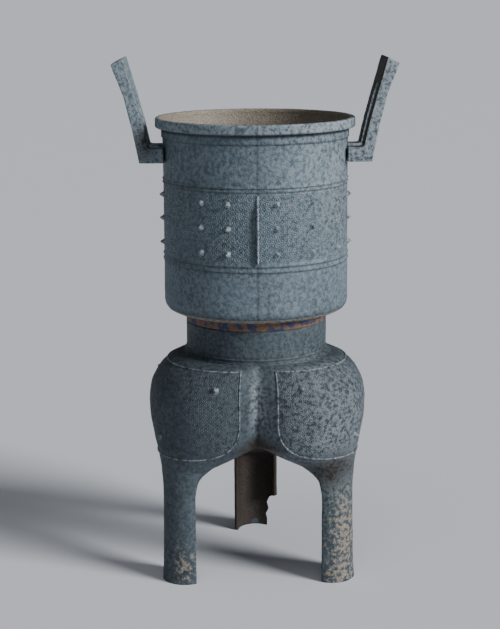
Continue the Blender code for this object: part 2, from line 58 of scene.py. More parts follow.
FULL_TURN = 360


def body_radius(height):
    """Outer radius of the upper pot's wall, least at its waist."""
    return WAIST_RADIUS + WALL_FLARE * ((height - WAIST_HEIGHT) / FLARE_REACH) ** 2


def walked(line, step):
    """A line through the same corners with points about a step apart."""
    found = [line[0]]
    for (r0, z0), (r1, z1) in zip(line, line[1:]):
        parts = max(1, round(math.hypot(r1 - r0, z1 - z0) / step))
        found += [(r0 + (r1 - r0) * k / parts, z0 + (z1 - z0) * k / parts) for k in range(1, parts + 1)]
    return found


def turned(degrees):
    """A turn about the vessel's axis, for what is drawn round the origin."""
    return Matrix.Translation((0, AXIS_Y, 0)) @ Matrix.Rotation(math.radians(degrees), 4, "Z")


def bridge(shape, rows, closed=False, over=False):
    """Faces between rows of points: quads, or triangles where a row is a single point."""
    for first, second in zip(rows, rows[1:]):
        count = max(len(first), len(second))
        first, second = (row * count if len(row) == 1 else row for row in (first, second))
        for k in range(count if closed else count - 1):
            after = (k + 1) % count
            corners = list(dict.fromkeys((first[k], first[after], second[after], second[k])))
            shape.faces.new(corners[::-1] if over else corners)


def add_block(shape, size, centre, turn):
    """A block of a size, set at its centre and then turned into place."""
    corners = bmesh.ops.create_cube(shape, size=1)["verts"]
    bmesh.ops.scale(shape, vec=size, verts=corners)
    bmesh.ops.translate(shape, vec=centre, verts=corners)
    bmesh.ops.transform(shape, matrix=turn, verts=corners)


def finished(name, shape):
    """A mesh of a shape, with its faces pointing out."""
    bmesh.ops.recalc_face_normals(shape, faces=shape.faces)
    mesh = bpy.data.meshes.new(name)
    shape.to_mesh(mesh)
    shape.free()
    return mesh


def in_scene(name, data):
    """An object for some data, in the scene and at the origin."""
    thing = bpy.data.objects.new(name, data)
    bpy.context.scene.collection.objects.link(thing)
    return thing


def plain_mesh(thing):
    """A thing's mesh with its modifiers, and the thing removed."""
    bpy.context.view_layer.update()
    graph = bpy.context.evaluated_depsgraph_get()
    mesh = bpy.data.meshes.new_from_object(thing.evaluated_get(graph))
    bpy.data.objects.remove(thing, do_unlink=True)
    return mesh


def cut_from(mesh, tool):
    """A mesh with another one cut out of it."""
    whole, cutter = in_scene("Whole", mesh), in_scene("Cutter", tool)
    cut = whole.modifiers.new("Cut", "BOOLEAN")
    cut.operation, cut.solver, cut.object = "DIFFERENCE", "EXACT", cutter
    rest = plain_mesh(whole)
    bpy.data.objects.remove(cutter, do_unlink=True)
    return rest


CAST_FALL, CAST_FINER, CAST_LAYERS = 0.8, 2.1, 3


def roughened(mesh, amount, scale):
    """Moves a mesh's points a little along their normals, as cast and corroded metal has them."""
    shape = bmesh.new()
    shape.from_mesh(mesh)
    shape.normal_update()
    for vertex in shape.verts:
        rise = noise.fractal(vertex.co * scale, CAST_FALL, CAST_FINER, CAST_LAYERS)
        vertex.co += vertex.normal * amount * rise
    shape.to_mesh(mesh)
    shape.free()


inside_line = [(0, 0.3926), (0.1071, 0.3931), (0.1201, 0.3968), (0.1247, 0.4056), (0.1240, WAIST_HEIGHT),
               (0.1259, COLLAR_FOOT), (0.1320, 0.6483), (0.1330, 0.6573), (0.1340, RIM_TOP)]
outside_line = [(RIM_RADIUS - RIM_BEVEL, RIM_TOP), (RIM_RADIUS, RIM_TOP - RIM_BEVEL),
                (RIM_RADIUS, RIM_FOOT + RIM_BEVEL), (RIM_RADIUS - RIM_BEVEL, RIM_FOOT),
                (COLLAR_RADIUS, RIM_FOOT), (COLLAR_RADIUS, COLLAR_FOOT),
                (body_radius(COLLAR_FOOT - COLLAR_BEVEL), COLLAR_FOOT - COLLAR_BEVEL)]
for height in STRING_LINES:
    wall = body_radius(height)
    outside_line += [(wall, height + STRING_HALF), (wall + STRING_PROUD, height),
                     (wall, height - STRING_HALF)]
outside_line += [(0.1307, 0.4025), (0.1293, 0.3960), (0.1261, 0.3913), (0.1202, 0.3882), (0.1037, UNDERSIDE),
                 (NECK_RADIUS, 0.3835), (NECK_RADIUS, RING_FOOT), (SPIGOT_OUTSIDE, RING_FOOT),
                 (SPIGOT_OUTSIDE, SPIGOT_FOOT), (SPIGOT_INSIDE, SPIGOT_FOOT), (SPIGOT_INSIDE, UNDERSIDE),
                 (0, UNDERSIDE)]

shape = bmesh.new()
rings = []
for radius, height in walked(inside_line, INSIDE_STEP) + walked(outside_line, OUTSIDE_STEP):
    angles = [math.tau * column / COLUMNS for column in range(COLUMNS if radius else 1)]
    rings.append([shape.verts.new((radius * math.cos(angle), radius * math.sin(angle) + AXIS_Y, height))
                  for angle in angles])
bridge(shape, rings, closed=True)
slots = bmesh.new()
for index in range(SLOTS):
    add_block(slots, SLOT_SIZE, SLOT_PLACE, turned(FULL_TURN * (index + 0.5) / SLOTS))
pot = cut_from(finished("Upper pot walls", shape), finished("Grate slots", slots))
roughened(pot, amount=0.00022, scale=60)

# Node helpers for its bronze: a tree's nodes stand in a row, in the order they are made.
NODE_GAP = 220
COLOUR_FACTOR, COLOUR_A, COLOUR_B, COLOUR_RESULT = 0, 6, 7, 2


def add_node(tree, kind, values=None, **settings):
    """One node of a tree, with its settings, and its inputs as sockets or numbers."""
    made = tree.nodes.new(kind)
    made.location.x = NODE_GAP * len(tree.nodes)
    for name, value in settings.items():
        setattr(made, name, value)
    for name, value in (values or {}).items():
        if isinstance(value, bpy.types.NodeSocket):
            tree.links.new(value, made.inputs[name])
        else:
            made.inputs[name].default_value = value
    return made


def add_socket(tree, name, kind, way="INPUT"):
    """A named input or output of a node group."""
    return tree.interface.new_socket(name, in_out=way, socket_type="NodeSocket" + kind)


def math_node(tree, operation, a, b=0.0, c=0.0):
    """The result of one arithmetic step."""
    return add_node(tree, "ShaderNodeMath", {0: a, 1: b, 2: c}, operation=operation).outputs[0]


def mixed(tree, factor, a, b):
    """Two colours mixed."""
    values = {COLOUR_FACTOR: factor, COLOUR_A: a, COLOUR_B: b}
    return add_node(tree, "ShaderNodeMix", values, data_type="RGBA").outputs[COLOUR_RESULT]


def stepped(tree, value, low, high):
    """A value stretched smoothly from 0 at low to 1 at high."""
    values = {"Value": value, "From Min": low, "From Max": high}
    return add_node(tree, "ShaderNodeMapRange", values, interpolation_type="SMOOTHSTEP").outputs[0]


# Corroded surface: mottling, grain and pits, shared by both bronzes. A cloud is scale, detail, low, high.
CLOUDS = {"Broad": (14, 5, 0.35, 0.65), "Mottle": (185, 4, 0.28, 0.74), "Grain": (620, 3, 0.30, 0.70)}
CLOUD_ROUGHNESS = 0.62
PIT_SCALE, PIT_LOW, PIT_HIGH = 260, 0.05, 0.32
corrosion = bpy.data.node_groups.new("Corroded surface", "ShaderNodeTree")
add_socket(corrosion, "Vector", "Vector")
for output in (*CLOUDS, "Pits"):
    add_socket(corrosion, output, "Float", "OUTPUT")
entry = add_node(corrosion, "NodeGroupInput")
levels = {}
for output, (scale, detail, low, high) in CLOUDS.items():
    cloud = add_node(corrosion, "ShaderNodeTexNoise",
                     {"Vector": entry.outputs["Vector"], "Scale": scale, "Detail": detail,
                      "Roughness": CLOUD_ROUGHNESS})
    levels[output] = stepped(corrosion, cloud.outputs[0], low, high)
cells = add_node(corrosion, "ShaderNodeTexVoronoi", {"Vector": entry.outputs["Vector"], "Scale": PIT_SCALE})
levels["Pits"] = stepped(corrosion, cells.outputs["Distance"], PIT_LOW, PIT_HIGH)
add_node(corrosion, "NodeGroupOutput", levels)

# Cast relief: level rows of small curls wrapped round the axis, with one seam on the left, as a height.
WRAP_RADIUS, CURL_SHIFT, CURL_RINGS = 0.131, 0.22, 15
relief = bpy.data.node_groups.new("Cast scrollwork", "ShaderNodeTree")
add_socket(relief, "Vector", "Vector")
add_socket(relief, "Pitch", "Float")
add_socket(relief, "Height", "Float", "OUTPUT")
entry = add_node(relief, "NodeGroupInput")
split = add_node(relief, "ShaderNodeSeparateXYZ", {"Vector": entry.outputs["Vector"]})
centred = math_node(relief, "SUBTRACT", split.outputs["Y"], AXIS_Y)
around = math_node(relief, "ARCTAN2", centred, split.outputs["X"])
arc = math_node(relief, "MULTIPLY", around, WRAP_RADIUS)
across = math_node(relief, "DIVIDE", arc, entry.outputs["Pitch"])
up = math_node(relief, "DIVIDE", split.outputs["Z"], entry.outputs["Pitch"])
flat = add_node(relief, "ShaderNodeCombineXYZ", {"X": across, "Y": up})
cells = add_node(relief, "ShaderNodeTexVoronoi",
                 {"Vector": flat.outputs[0], "Scale": 1, "Randomness": CURL_SHIFT}, voronoi_dimensions="2D")
ripple = math_node(relief, "MULTIPLY", cells.outputs["Distance"], CURL_RINGS)
add_node(relief, "NodeGroupOutput", {"Height": math_node(relief, "SINE", ripple)})

# Bronze: tones of its deposits, painted light and painted shade, how much of each shows, and where the
# mottling breaks up their edges.
BLOOM_AND_LIGHT_TONE, BLOOM_AND_LIGHT_FULL = (0.36, 0.41, 0.44, 1), 0.8
SAND_TONES = ((0.15, 0.12, 0.085, 1), (0.34, 0.31, 0.26, 1))
EARTH_AND_SHADE_TONES = ((0.012, 0.009, 0.008, 1), (0.045, 0.032, 0.024, 1))
TARNISH_TONES = ((0.030, 0.036, 0.105, 1), (0.21, 0.105, 0.045, 1))
SHADOW_TONE, PIT_TONE = (0.006, 0.009, 0.012, 1), (0.012, 0.018, 0.022, 1)
MOTTLE_SHARE, GRAIN_SHARE, PIT_SHARE = 0.50, 0.22, 0.45
TARNISH_SHARE, SHADOW_SHARE = 0.85, 0.85
SAND_EDGE, EARTH_AND_SHADE_EDGE = (0.55, 0.62, 0.92), (0.50, 0.55, 0.95)
TARNISH_PATCHES, TARNISH_EDGE = {"Scale": 95, "Detail": 2}, (0.42, 0.56)
MOTTLE_RISE, PIT_RISE, GRAIN_RISE = 0.8, 0.5, 0.35


def ragged(tree, mask, mottle, edge):
    """A deposit's mask with a ragged edge: the mottling's share, and the low and high of the step."""
    share, low, high = edge
    return stepped(tree, math_node(tree, "MULTIPLY_ADD", mottle, share, mask), low, high)


def bronze(name, dark, middle, light, pitch):
    """A patinated bronze of three slate tones, with deposits, painted light, painted shade and relief where
    its mesh says.
    """
    material = bpy.data.materials.new(name)
    material.use_nodes = True
    tree = material.node_tree
    shader = tree.nodes["Principled BSDF"]
    shader.inputs["Metallic"].default_value = 0.12
    shader.inputs["Specular IOR Level"].default_value = 0.42
    place = add_node(tree, "ShaderNodeTexCoord").outputs["Object"]
    surface = add_node(tree, "ShaderNodeGroup", node_tree=corrosion)
    tree.links.new(place, surface.inputs["Vector"])
    broad, mottle, grain, pits = surface.outputs
    marks = add_node(tree, "ShaderNodeAttribute", attribute_name="marks").outputs
    channels = add_node(tree, "ShaderNodeSeparateColor", {"Color": marks["Color"]}).outputs
    carving = add_node(tree, "ShaderNodeAttribute", attribute_name="carving").outputs["Fac"]
    hollow = add_node(tree, "ShaderNodeAttribute", attribute_name="hollow").outputs["Fac"]
    tone = mixed(tree, broad, dark, middle)
    tone = mixed(tree, math_node(tree, "MULTIPLY", mottle, MOTTLE_SHARE), tone, light)
    tone = mixed(tree, math_node(tree, "MULTIPLY", grain, GRAIN_SHARE), tone, light)
    # Pale bloom, and painted light where the marks put it.
    bloom_and_light = math_node(tree, "MULTIPLY", channels["Blue"], stepped(tree, mottle, 0, BLOOM_AND_LIGHT_FULL))
    tone = mixed(tree, bloom_and_light, tone, BLOOM_AND_LIGHT_TONE)
    sand = ragged(tree, channels["Red"], mottle, SAND_EDGE)
    tone = mixed(tree, sand, tone, mixed(tree, grain, *SAND_TONES))
    # Earth, and painted shade in the earth's brown where the marks put it.
    earth_and_shade = ragged(tree, channels["Green"], mottle, EARTH_AND_SHADE_EDGE)
    tone = mixed(tree, earth_and_shade, tone, mixed(tree, grain, *EARTH_AND_SHADE_TONES))
    patches = add_node(tree, "ShaderNodeTexNoise", {"Vector": place, **TARNISH_PATCHES}).outputs[0]
    tinted = mixed(tree, stepped(tree, patches, *TARNISH_EDGE), *TARNISH_TONES)
    tone = mixed(tree, math_node(tree, "MULTIPLY", marks["Alpha"], TARNISH_SHARE), tone, tinted)
    # Painted shade: the dark shadow tone laid on where the mesh's shade values say.
    tone = mixed(tree, math_node(tree, "MULTIPLY", hollow, SHADOW_SHARE), tone, SHADOW_TONE)
    specks = math_node(tree, "MULTIPLY", math_node(tree, "SUBTRACT", 1.0, pits), PIT_SHARE)
    tree.links.new(mixed(tree, specks, tone, PIT_TONE), shader.inputs["Base Color"])
    rough = add_node(tree, "ShaderNodeMapRange", {"Value": grain, "To Min": 0.52, "To Max": 0.78})
    tree.links.new(rough.outputs[0], shader.inputs["Roughness"])
    curls = add_node(tree, "ShaderNodeGroup", node_tree=relief)
    curls.inputs["Pitch"].default_value = pitch
    tree.links.new(place, curls.inputs["Vector"])
    rise = math_node(tree, "MULTIPLY", curls.outputs["Height"], carving)
    for texture, share in ((mottle, MOTTLE_RISE), (pits, PIT_RISE), (grain, GRAIN_RISE)):
        rise = math_node(tree, "MULTIPLY_ADD", texture, share, rise)
    bump = add_node(tree, "ShaderNodeBump", {"Height": rise, "Distance": 0.0005, "Strength": 0.9})
    tree.links.new(bump.outputs[0], shader.inputs["Normal"])
    return material


zeng_bronze = bronze("Zeng patina", dark=(0.026, 0.042, 0.058, 1), middle=(0.060, 0.092, 0.118, 1),
                     light=(0.21, 0.275, 0.32, 1), pitch=0.0062)

# Deposits, painted light and painted shade of the upper pot, kept on its points. SKIN_LINE is heights and
# radii between the two skins, and the curve under the wall lies inside it.
SAND, EARTH_AND_SHADE, BLOOM_AND_LIGHT, TARNISH = range(4)
NEARNESS_POWER = 0.7
SKIN_LINE = ((0.60, 0.1276), (0.632, 0.1287), (0.6449, 0.1311), (0.6455, 0.1340), (0.6570, 0.1365),
             (RIM_TOP, 0.1352))
CRUST_FROM, CRUST = 0.388, 0.85
TARNISH_FROM, TARNISH_TO, TARNISH_RADIUS = 0.3715, 0.3838, 0.098
SOIL_TO, SOIL_RADIUS, SOIL = 0.3935, 0.1015, 0.35
SOIL_PATCH = ((-0.13, -0.05, 0.42), (0.09, 0.12, 0.06))
PAINTED_LIGHT_PATCH = ((0.11, -0.09, 0.58), (0.12, 0.12, 0.14))
PALE_EVERYWHERE, PAINTED_LIGHT, PALE_RIM = 0.12, 0.35, 0.35
ZONE_LOW, ZONE_HIGH = 0.4725, 0.5655
STRING_SHADOW_DROP, STRING_SHADOW_WIDTH, STRING_SHADOW = 0.0020, 0.0009, 0.8
RIM_SHADOW, COLLAR_SHADOW = (0.6425, 0.0022, 1.0), (0.6312, 0.0008, 0.8)
FOOT_SHADOW_FROM, FOOT_SHADOW_DEEP, FOOT_SHADOW = 0.4020, 0.010, 0.75
JOINT_X, JOINT_HALF, JOINT_SHADOW = -0.0003, 0.0016, 0.55


def points_of(mesh):
    """A mesh's points as rows."""
    table = np.empty(len(mesh.vertices) * 3)
    mesh.vertices.foreach_get("co", table)
    return table.reshape(-1, 3)


def nearness(points, centre, size):
    """How near each point is to a centre, from 1 there to 0 at the edge of an ellipsoid."""
    apart = np.linalg.norm((points - np.array(centre)) / np.array(size), axis=1)
    return np.clip(1 - apart, 0, 1) ** NEARNESS_POWER


def shade_line(offsets, width):
    """How strongly each point lies in a line of painted shade, from its distance to the line's middle."""
    return np.exp(-(offsets / width) ** 2)


def marked(mesh, marks, carving=None, hollow=None):
    """Stores on a mesh's points its deposits with some painted light and shade, the strength of its cast
    relief and its painted shade.
    """
    colours = mesh.attributes.new("marks", "FLOAT_COLOR", "POINT")
    colours.data.foreach_set("color", np.clip(marks, 0, 1).astype(np.float32).ravel())
    for name, values in (("carving", carving), ("hollow", hollow)):
        if values is not None:
            strength = mesh.attributes.new(name, "FLOAT", "POINT")
            strength.data.foreach_set("value", np.clip(values, 0, 1).astype(np.float32))


def shown(name, mesh, material, node=None):
    """A finished piece of the vessel in the scene, riding on its body."""
    mesh.materials.clear()
    mesh.materials.append(material)
    mesh.shade_smooth()
    piece = in_scene(name, mesh)
    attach(piece, "root")
    if node:
        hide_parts(node)


spots = points_of(pot)
heights = spots[:, 2]
radii = np.hypot(spots[:, 0], spots[:, 1] - AXIS_Y)
outer = radii > np.interp(heights, *zip(*SKIN_LINE))
middle_zone = outer & (heights > ZONE_LOW) & (heights < ZONE_HIGH)
soiled = (heights < SOIL_TO) & (radii > SOIL_RADIUS)
marks = np.zeros((len(spots), 4))
marks[:, SAND] = CRUST * (~outer & (heights > CRUST_FROM))
marks[:, EARTH_AND_SHADE] = SOIL * np.maximum(soiled, nearness(spots, *SOIL_PATCH))
# Pale bloom over the outside, with painted light added on the right front, where the light falls.
marks[:, BLOOM_AND_LIGHT] = outer * (PALE_EVERYWHERE + PAINTED_LIGHT * nearness(spots, *PAINTED_LIGHT_PATCH))
marks[:, BLOOM_AND_LIGHT] += PALE_RIM * (outer & (heights > RIM_FOOT))
marks[:, TARNISH] = (heights > TARNISH_FROM) & (heights < TARNISH_TO) & (radii > TARNISH_RADIUS)
string_shadows = [(height - STRING_SHADOW_DROP, STRING_SHADOW_WIDTH, STRING_SHADOW)
                  for height in STRING_LINES]
# Painted shade: under the string lines, the rim and the collar, darker below the pot's lower curve, and along
# the mould joint.
hollow = FOOT_SHADOW * outer * np.clip((FOOT_SHADOW_FROM - heights) / FOOT_SHADOW_DEEP, 0, 1)
for height, width, depth in (*string_shadows, RIM_SHADOW, COLLAR_SHADOW):
    hollow += depth * outer * shade_line(heights - height, width)
on_joint = (np.abs(spots[:, 0] - JOINT_X) < JOINT_HALF) & (spots[:, 1] < 0)
hollow += JOINT_SHADOW * (outer & on_joint & ~middle_zone)
marked(pot, marks, middle_zone.astype(float), hollow)
shown("zeng_walls", pot, zeng_bronze, "zeng")

# Ears: upright bronze loops that lean out from the wall, each a bent bar opened up its middle.
# They are cast on, and their edges are worn round. Painted shade in the earth's brown lies on the right one's
# inner face, turned from the light, and on the left one's strut, under the rim.
EAR_OUTER = ((0.1608, 0.5980), (0.1692, 0.6417), (0.1802, 0.6884), (0.1970, 0.7330))
EAR_INNER = ((0.1801, 0.7411), (0.1655, 0.6890), (0.1560, 0.6540), (0.1480, 0.6180))
STRUT_ROOT, STRUT_LOW, STRUT_HIGH = 0.1270, 0.5980, 0.6180
EAR_HALF = 0.042
GAP_SIZE, GAP_PLACE = (0.100, 0.028, 0.125), (0.170, 0, 0.6405)
EAR_VOXEL, EAR_WEAR, EAR_WEAR_ROUNDS = 0.0015, 0.5, 3
FACE_FADE, FACE_FROM = 0.0025, 0.620
STRUT_SHADE_PATCH = ((-0.150, -0.05, 0.632), (0.03, 0.05, 0.045))
# The right ear's greater bloom is partly painted light on the lit side.
EARS = {"zeng_ear_right": {"side": 1, "turn": 0, "bloom_and_light": 0.75, "face": 0.95, "strut_shade": 0},
        "zeng_ear_left": {"side": -1, "turn": 180, "bloom_and_light": 0.45, "face": 0, "strut_shade": 0.7}}


def slab(name, outline, near, far):
    """A flat outline in X and Z, with its thickness from near to far along Y."""
    shape = bmesh.new()
    ends = [[shape.verts.new((x, y, z)) for x, z in outline] for y in (near, far)]
    shape.faces.new(ends[0])
    shape.faces.new(ends[1][::-1])
    bridge(shape, ends, closed=True)
    return finished(name, shape)


for name, ear in EARS.items():
    bar = slab("Ear bar", [(STRUT_ROOT, STRUT_HIGH), (STRUT_ROOT, STRUT_LOW), *EAR_OUTER, *EAR_INNER],
               -EAR_HALF, EAR_HALF)
    gap = bmesh.new()
    add_block(gap, GAP_SIZE, GAP_PLACE, Matrix.Identity(4))
    loop = in_scene("Ear", cut_from(bar, finished("Ear gap", gap)))
    grid = loop.modifiers.new("Even mesh", "REMESH")
    grid.mode, grid.voxel_size = "VOXEL", EAR_VOXEL
    wear = loop.modifiers.new("Worn edges", "SMOOTH")
    wear.factor, wear.iterations = EAR_WEAR, EAR_WEAR_ROUNDS
    mesh = plain_mesh(loop)
    mesh.transform(turned(ear["turn"]))
    roughened(mesh, amount=0.0003, scale=70)
    spots = points_of(mesh)
    inner_x, inner_z = zip(*reversed(EAR_INNER))
    past_face = ear["side"] * spots[:, 0] - np.interp(spots[:, 2], inner_z, inner_x)
    shaded_face = np.clip(1 - past_face / FACE_FADE, 0, 1) * (spots[:, 2] > FACE_FROM)
    marks = np.zeros((len(spots), 4))
    # Painted shade in the earth's brown: on the right ear's inner face, turned from the light, and on the
    # left ear's strut, under the rim.
    marks[:, EARTH_AND_SHADE] = np.maximum(ear["face"] * shaded_face, ear["strut_shade"] * nearness(spots, *STRUT_SHADE_PATCH))
    marks[:, BLOOM_AND_LIGHT] = ear["bloom_and_light"]
    marked(mesh, marks)
    shown(name, mesh, zeng_bronze)

# Studs and fins of the upper pot: pointed bronze cones in three rows, and three thin upright fins on
# the joints of the mould, all cast with the wall and sunk a little into it.
STUD_ROWS = (0.5516, 0.5187, 0.4844)
STUD_ANGLES = (11.6, 35, 58.2, 81.6, 105, 137, 159, 181, 203, 225, 255, 275, 324.5, 342)
STUD_RADIUS, STUD_HEIGHT, STUD_SINK = 0.0056, 0.0072, 0.0016
STUD_CONE = {"Vertices": 20, "Side Segments": 6, "Fill Segments": 2, "Radius Top": 0.0009}
FRONT = -90
FIN_ANGLES, FIN_STEPS = (0, 120, 240), 40
FIN_LOW, FIN_HIGH, FIN_TAPER = 0.4725, 0.5645, 0.030
FIN_PROUD, FIN_LEAST, FIN_POWER = 0.0064, 0.0001, 0.75
FIN_ROOT, FIN_SHOULDER = 0.0018, 0.8
ROOT_HALF, SHOULDER_HALF, EDGE_HALF = 0.0017, 0.0013, 0.0005
STUD_BLOOM = 0.75

studding = bpy.data.node_groups.new("Studs on places", "GeometryNodeTree")
add_socket(studding, "Geometry", "Geometry")
radius_input = add_socket(studding, "Stud radius", "Float")
height_input = add_socket(studding, "Stud height", "Float")
metal_input = add_socket(studding, "Metal", "Material")
add_socket(studding, "Geometry", "Geometry", "OUTPUT")
entry = add_node(studding, "NodeGroupInput")
cone = add_node(studding, "GeometryNodeMeshCone",
                {**STUD_CONE, "Radius Bottom": entry.outputs["Stud radius"],
                 "Depth": entry.outputs["Stud height"]})
outward = add_node(studding, "GeometryNodeInputNamedAttribute", {"Name": "outward"}, data_type="FLOAT_VECTOR")
aligned = add_node(studding, "FunctionNodeAlignRotationToVector", {"Vector": outward.outputs[0]}, axis="Z")
placed = add_node(studding, "GeometryNodeInstanceOnPoints",
                  {"Points": entry.outputs["Geometry"], "Instance": cone.outputs[0],
                   "Rotation": aligned.outputs[0]})
realized = add_node(studding, "GeometryNodeRealizeInstances", {"Geometry": placed.outputs[0]})
dressed = add_node(studding, "GeometryNodeSetMaterial",
                   {"Geometry": realized.outputs[0], "Material": entry.outputs["Metal"]})
add_node(studding, "NodeGroupOutput", {"Geometry": dressed.outputs[0]})


def studs_mesh(places, radius, height, metal):
    """Studs on places, each a point and the outward direction there."""
    mesh = bpy.data.meshes.new("Stud places")
    mesh.from_pydata([point for point, _ in places], [], [])
    away = mesh.attributes.new("outward", "FLOAT_VECTOR", "POINT")
    away.data.foreach_set("vector", np.array([tuple(out) for _, out in places], np.float32).ravel())
    thing = in_scene("Stud places", mesh)
    nodes = thing.modifiers.new("Studs", "NODES")
    nodes.node_group = studding
    nodes[radius_input.identifier] = radius
    nodes[height_input.identifier] = height
    nodes[metal_input.identifier] = metal
    return plain_mesh(thing)


places = []
for angle in STUD_ANGLES:
    turn = math.radians(angle + FRONT)
    out = Vector((math.cos(turn), math.sin(turn), 0))
    for height in STUD_ROWS:
        places.append((Vector((0, AXIS_Y, height)) + out * (body_radius(height) - STUD_SINK), out))
shape = bmesh.new()
shape.from_mesh(studs_mesh(places, STUD_RADIUS, STUD_HEIGHT, zeng_bronze))
for angle in FIN_ANGLES:
    turn = turned(angle + FRONT)
    rows = []
    for k in range(FIN_STEPS + 1):
        height = FIN_LOW + (FIN_HIGH - FIN_LOW) * k / FIN_STEPS
        wall = body_radius(height)
        proud = FIN_PROUD * min(1, (FIN_HIGH - height) / FIN_TAPER) ** FIN_POWER + FIN_LEAST
        half = [(wall - FIN_ROOT, -ROOT_HALF), (wall + proud * FIN_SHOULDER, -SHOULDER_HALF),
                (wall + proud, -EDGE_HALF)]
        section = half + [(radius, -y) for radius, y in reversed(half)]
        rows.append([shape.verts.new(turn @ Vector((radius, y, height))) for radius, y in section])
    bridge(shape, rows, closed=True)
    shape.faces.new(rows[0][::-1])
    shape.faces.new(rows[-1])
studs = finished("Studs and fins", shape)
marks = np.zeros((len(studs.vertices), 4))
marks[:, BLOOM_AND_LIGHT] = STUD_BLOOM
marked(studs, marks)
shown("zeng_studs_and_fins", studs, zeng_bronze)

# Lower pot: one cast bronze skin with a lining, worked out level by level. Each level of a lobe and of
# its leg is an arc through its crest and two ends, which run down the hollow between two lobes, then
# the arch, then the leg. The rear leg has lost a piece of its wall.
WALL, MERGE = 0.0056, 0.00003
CREST = ((0, 0.1550), (0.025, 0.1533), (0.060, 0.1524), (0.130, 0.1514), (0.165, 0.1528), (0.190, 0.1544),
         (0.215, 0.1580), (0.240, 0.1618), (0.263, 0.1626), (0.285, 0.1595), (0.300, 0.1522),
         (0.312, 0.1420), (0.3185, 0.1325), (0.3225, 0.1240), (0.3245, 0.1090))
HOLLOW = ((0.2044, 0.0900), (0.224, 0.1000), (0.245, 0.1075), (0.263, 0.1115), (0.285, 0.1124),
          (0.300, 0.1110), (0.312, 0.1086), (0.3245, 0.1040))
ARCH = ((0.1310, 0.0895), (0.1440, 0.0870), (0.1554, 0.0840), (0.1674, 0.0742), (0.1790, 0.0504),
        (0.1876, 0.0322), (0.2044, 0))
ARCH_TOP, ARCH_CENTRE, LEG_TOP, LEG_END = 0.2044, 0.09, 0.1310, (0.1225, 0.0332)
LOBE_ANGLES, HALF_LOBE = (90, 210, 330), 60
AROUND, BELOW = 56, 28
MOUTH, NECK_FOOT, NECK_STEP = 0.3720, 0.3335, 0.003
NECK_LINES = ((0.3312, 0.0013), (0.3262, 0.0026))
LINE_SECTION = ((0.0018, 0), (0.0009, 0.7), (0, 1), (-0.0009, 0.7))
SHOULDER_TOP, SHOULDER_FOOT, SHOULDER_STEP = 0.3244, 0.3000, 0.0012
LOBE_TOP, LOBE_STEP = 0.2980, 0.0026
ARCH_GAP, ARCH_STEP = 0.0015, 0.0024
LEG_FROM, LEG_STEP = 0.1200, 0.0026
UNDER_PUSH, UNDER_POWER, UNDER_BULGE = 1.15, 0.8, 1.2
LINING_NECK_FOOT, LINING_TOP, LINING_STEP = 0.3330, 0.3150, 0.012
LINING_ARCH = (0.1876, 0.1650, LEG_TOP)
BREAK_LINE = ((0.0180, -0.010), (0.0185, 0.010), (0.0165, 0.019), (0.0205, 0.029), (0.0180, 0.039),
              (0.0215, 0.049), (0.0270, 0.055), (0.0400, 0.060), (0.0480, 0.060), (0.0480, -0.010))
BREAK_NEAR, BREAK_FAR = 0.105, 0.170


def smooth_value(table, x):
    """A smooth curve through (place, value) pairs that never swings past its points."""
    if x <= table[0][0]:
        return table[0][1]
    if x >= table[-1][0]:
        return table[-1][1]
    slopes = [(b[1] - a[1]) / (b[0] - a[0]) for a, b in zip(table, table[1:])]
    index = next(i for i, pair in enumerate(table[1:]) if x <= pair[0])
    tangents = []
    for i in (index, index + 1):
        if i in (0, len(table) - 1):
            tangents.append(slopes[min(i, len(slopes) - 1)])
        elif slopes[i - 1] * slopes[i] <= 0:
            tangents.append(0)
        else:
            tangents.append(2 * slopes[i - 1] * slopes[i] / (slopes[i - 1] + slopes[i]))
    width = table[index + 1][0] - table[index][0]
    t = (x - table[index][0]) / width
    start = table[index][1] * (2 * t ** 3 - 3 * t ** 2 + 1) + tangents[0] * width * (t ** 3 - 2 * t ** 2 + t)
    return start + table[index + 1][1] * (3 * t ** 2 - 2 * t ** 3) + tangents[1] * width * (t ** 3 - t ** 2)


def section_end(height):
    """Where a lobe's outer curve ends: the distance along its crest's direction, and half its width."""
    half = math.radians(HALF_LOBE)
    if height >= ARCH_TOP:
        radius = smooth_value(HOLLOW, height)
        return radius * math.cos(half), radius * math.sin(half)
    if height >= LEG_TOP:
        reach = smooth_value(ARCH, height)
        return (ARCH_CENTRE * math.cos(half) + reach * math.sin(half),
                ARCH_CENTRE * math.sin(half) - reach * math.cos(half))
    return LEG_END


def section_circle(height):
    """Centre distance and radius of the arc through a lobe's crest and its two ends."""
    crest = smooth_value(CREST, height)
    end_x, end_y = section_end(height)
    centre = (crest ** 2 - end_x ** 2 - end_y ** 2) / (2 * (crest - end_x))
    return centre, crest - centre


def arc_points(centre, radius, span, count, height):
    """Points of an arc facing +X, from one side of its span to the other."""
    angles = [span * (2 * k / count - 1) for k in range(count + 1)]
    return [Vector((centre + radius * math.cos(a), radius * math.sin(a), height)) for a in angles]


def outer_section(height):
    """A lobe's or leg's outer arc at a height."""
    end_x, end_y = section_end(height)
    centre, radius = section_circle(height)
    return arc_points(centre, radius, math.atan2(end_y, end_x - centre), AROUND, height)


def neck_section(height, radius=NECK_RADIUS):
    """A third of a round section."""
    return arc_points(0, radius, math.radians(HALF_LOBE), AROUND, height)


def underside_section(height):
    """The underside's curve at a height, between the ends of the outer arc."""
    end_x, end_y = section_end(height)
    fall = (ARCH_TOP - height) / (ARCH_TOP - LEG_TOP)
    middle = end_x * min(1, fall * UNDER_PUSH) ** UNDER_POWER
    power = 1 + UNDER_BULGE * math.sin(math.pi * fall)
    sides = [2 * k / BELOW - 1 for k in range(BELOW + 1)]
    return [Vector((middle + (end_x - middle) * abs(side) ** power, end_y * side, height)) for side in sides]


